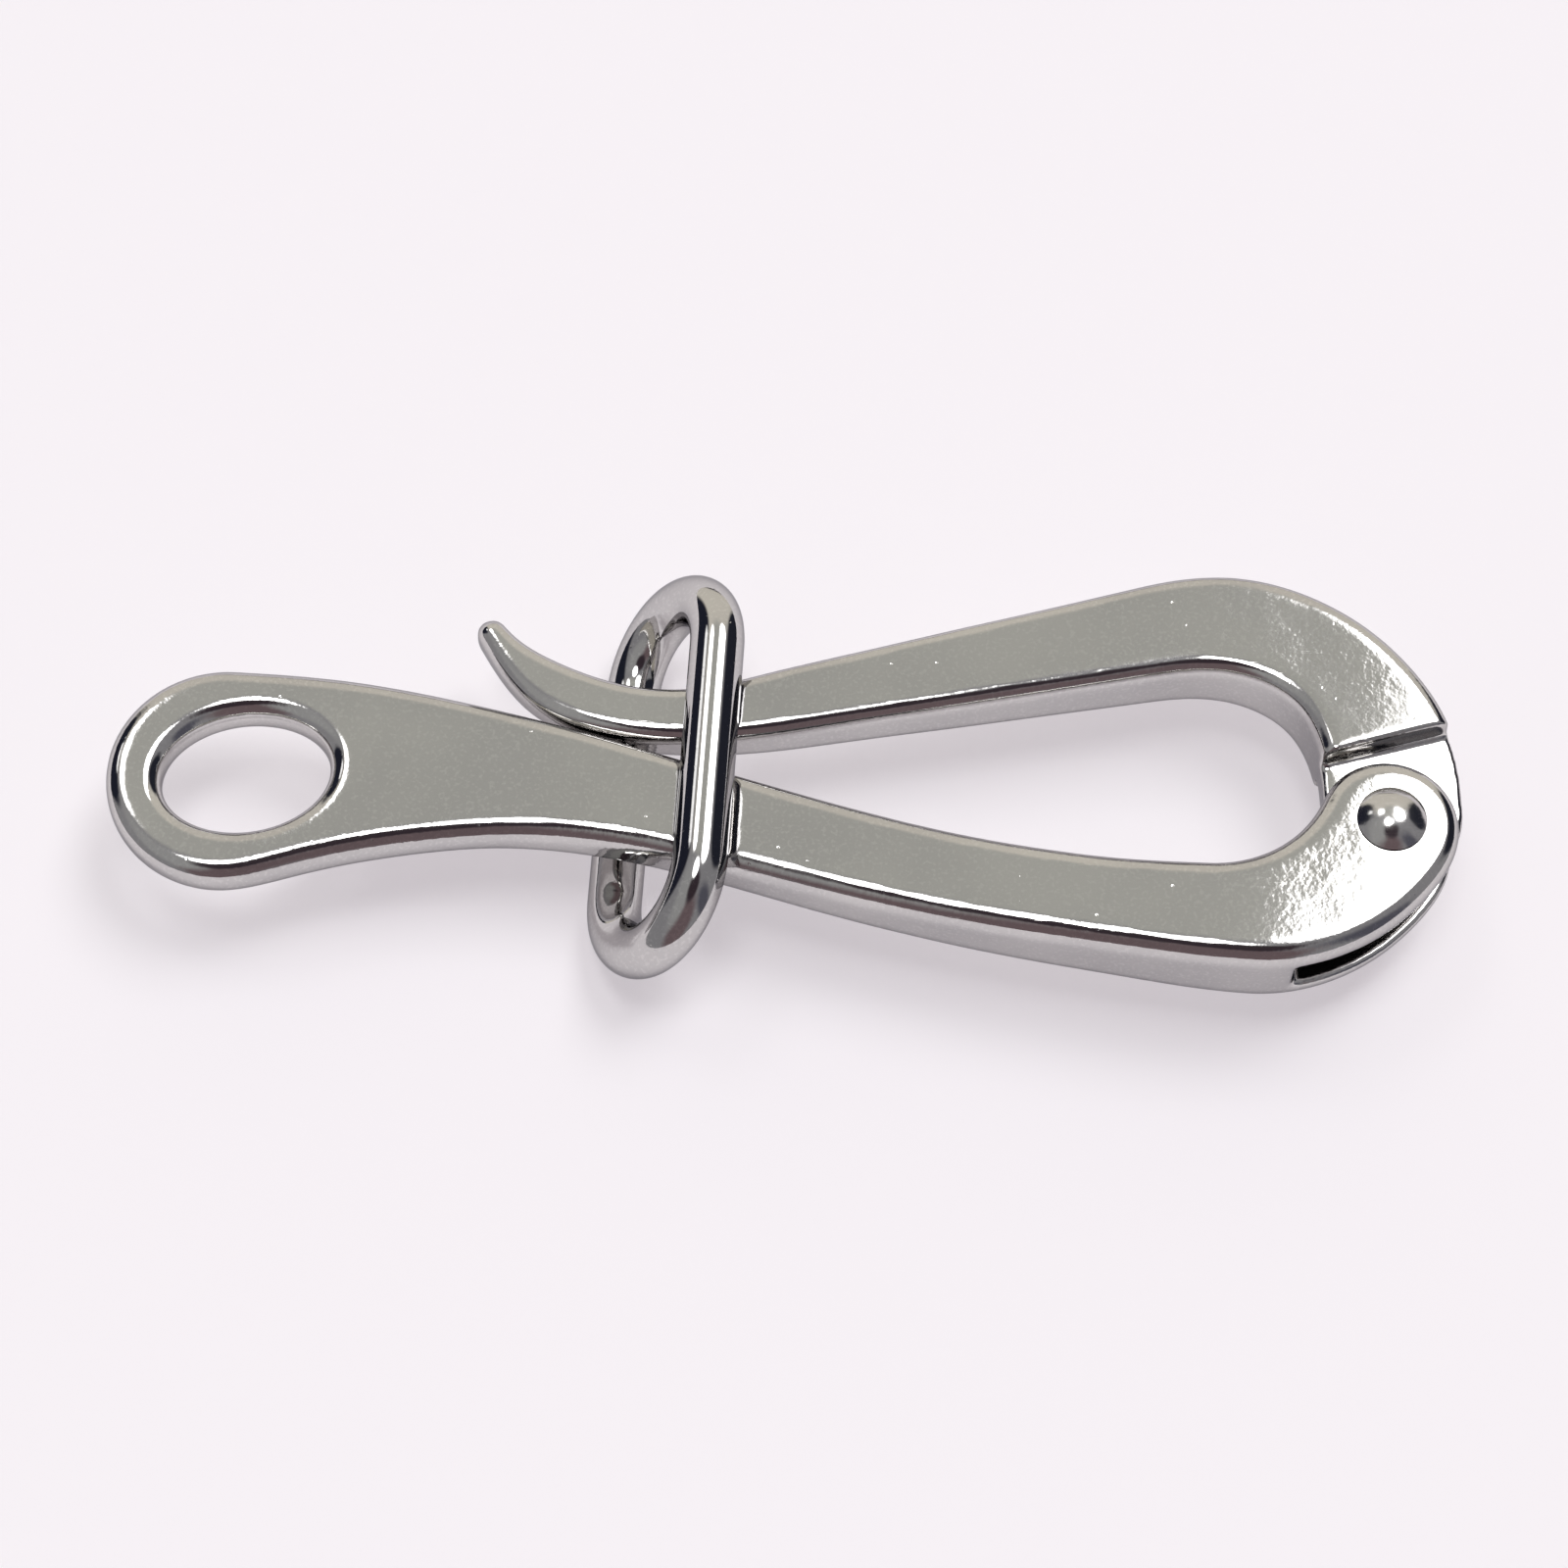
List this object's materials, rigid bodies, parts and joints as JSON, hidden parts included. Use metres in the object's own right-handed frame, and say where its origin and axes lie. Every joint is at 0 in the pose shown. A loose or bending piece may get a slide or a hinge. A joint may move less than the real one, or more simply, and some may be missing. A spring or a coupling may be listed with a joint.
{
  "type": "pelican hook",
  "caption": "Flat cast quick-release hook with an eye end, a hinged curved arm with an upturned beak, and an oblong ring that holds the arm shut.",
  "frame": {"origin": "centre of the eye's hole, on the middle plane of the body", "axes": "+X from the eye to the hinge, +Y towards the hinged arm's side, +Z through the thickness towards the viewer, along the hinge axis"},
  "size_m": [0.1002, 0.0341, 0.0132],
  "materials": {
    "body_steel": "mirror polished cast stainless steel",
    "arm_steel": "mirror polished cast stainless steel",
    "rivet_steel": "polished stainless steel",
    "ring_steel": "mirror polished stainless steel"
  },
  "bodies": {
    "body": {"hook_body": "body_steel", "pivot_rivet": "rivet_steel"},
    "arm": {"hook_arm": "arm_steel"},
    "ring": {"locking_ring": "ring_steel"}
  },
  "joints": [
    {"name": "arm_hinge", "type": "hinge", "parent": "body", "child": "arm", "pos_m": [0.08407, 0, 0], "axis": [0, 0, -1], "range_deg": [0, 3]},
    {"name": "ring_release", "type": "hinge", "parent": "body", "child": "ring", "pos_m": [0.0183, 0, -0.04], "axis": [-0.0958, -0.9954, 0], "range_deg": [0, 28]}
  ]
}
